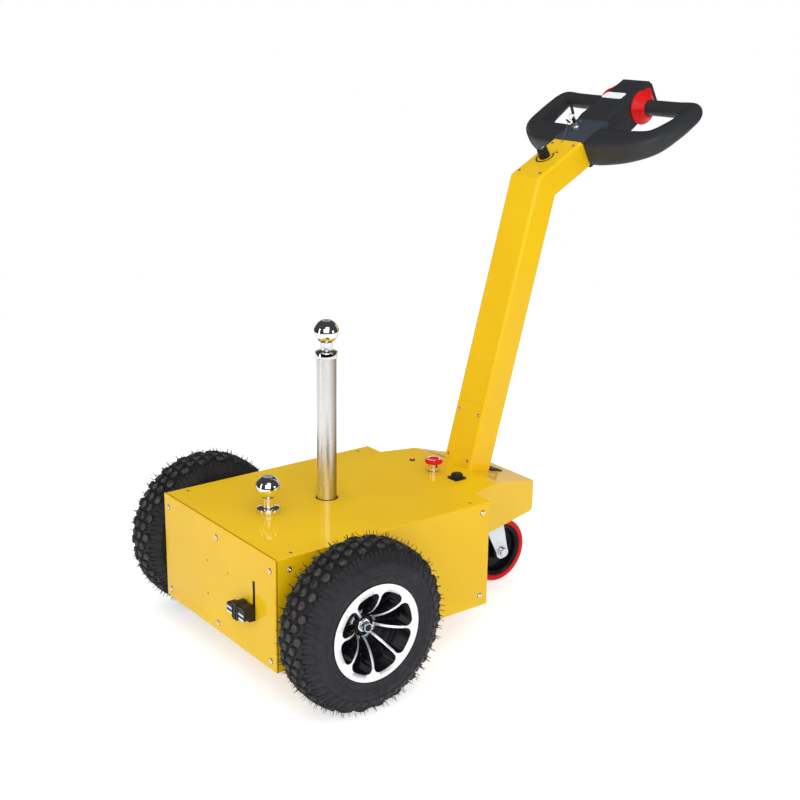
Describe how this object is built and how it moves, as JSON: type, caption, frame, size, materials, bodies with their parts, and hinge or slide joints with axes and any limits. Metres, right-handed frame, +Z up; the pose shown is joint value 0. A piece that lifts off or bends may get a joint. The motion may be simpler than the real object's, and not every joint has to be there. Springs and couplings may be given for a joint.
{
  "type": "pedestrian electric tow tractor",
  "caption": "Walk-behind electric tow tractor: low sheet-metal body on drive wheels and a castor, tow balls at two heights and a bent tiller with a hoop handle.",
  "frame": {"origin": "on the ground, in the middle of the length and the width", "axes": "+X to the right-hand drive wheel as seen facing the front plate's back, +Y from the front plate towards the handle, +Z up"},
  "size_m": [0.689, 1.1722, 1.1258],
  "materials": {
    "yellow_paint": "glossy powder paint",
    "grey_casting": "painted casting",
    "battery_case": "moulded case",
    "satin_steel": "drawn tube, satin",
    "chrome": "mirror plated",
    "black_plastic": "moulded",
    "red_plastic": "glossy moulded",
    "bright_brass": "plated and polished",
    "head_plastic": "fine moulded grain",
    "head_cover_plastic": "fine moulded grain",
    "white_label": "blank label",
    "zinc": "bright zinc plate",
    "axle_steel": "turned",
    "castor_black": "moulded",
    "red_tread": "cast polyurethane",
    "tyre_rubber": "moulded rubber",
    "rim_alloy": "black casting with machined face"
  },
  "bodies": {
    "chassis": {"deck_plate": "yellow_paint", "side_panel_left": "yellow_paint", "side_panel_right": "yellow_paint", "front_plate": "yellow_paint", "belly_pan": "yellow_paint", "tail_shell": "yellow_paint", "drive_unit": "grey_casting", "battery_block": "battery_case", "axle_bearing_left": "grey_casting", "axle_bearing_right": "grey_casting", "post_socket": "grey_casting", "tow_post": "satin_steel", "tow_ball_high": "chrome", "tow_ball_low": "chrome", "release_lever": "black_plastic", "stop_button": "red_plastic", "stop_collar": "bright_brass", "warning_lamp": "red_plastic", "socket_cap": "black_plastic", "battery_gauge": "black_plastic", "castor_plate": "zinc", "tiller_column": "yellow_paint", "tiller_foot_cover": "yellow_paint", "tiller_top_cover": "yellow_paint", "speed_knob": "black_plastic", "head_spine": "head_plastic", "head_cover": "head_cover_plastic", "handle_loop_left": "head_plastic", "handle_loop_right": "head_plastic", "thumb_wheel_left": "red_plastic", "thumb_wheel_right": "red_plastic", "label_plate": "white_label", "key_switch": "chrome"},
    "wheel_right": {"tyre_right": "tyre_rubber", "rim_right": "rim_alloy", "wheel_nut_right": "zinc", "axle_shaft_right": "axle_steel"},
    "wheel_left": {"tyre_left": "tyre_rubber", "rim_left": "rim_alloy", "wheel_nut_left": "zinc", "axle_shaft_left": "axle_steel"},
    "castor": {"castor_fork": "zinc", "castor_axle": "zinc"},
    "castor_wheel": {"castor_core": "castor_black", "castor_tread": "red_tread"}
  },
  "joints": [
    {"name": "right_wheel_spin", "type": "hinge", "parent": "chassis", "child": "wheel_right", "pos_m": [0.2945, -0.41608, 0.17], "axis": [1, 0, 0], "continuous": true},
    {"name": "left_wheel_spin", "type": "hinge", "parent": "chassis", "child": "wheel_left", "pos_m": [-0.2945, -0.41608, 0.17], "axis": [1, 0, 0], "continuous": true},
    {"name": "castor_swivel", "type": "hinge", "parent": "chassis", "child": "castor", "pos_m": [0, 0.13392, 0.17], "axis": [0, 0, 1], "continuous": true},
    {"name": "castor_roll", "type": "hinge", "parent": "castor", "child": "castor_wheel", "pos_m": [0, 0.17391, 0.076], "axis": [1, 0, 0], "continuous": true}
  ]
}
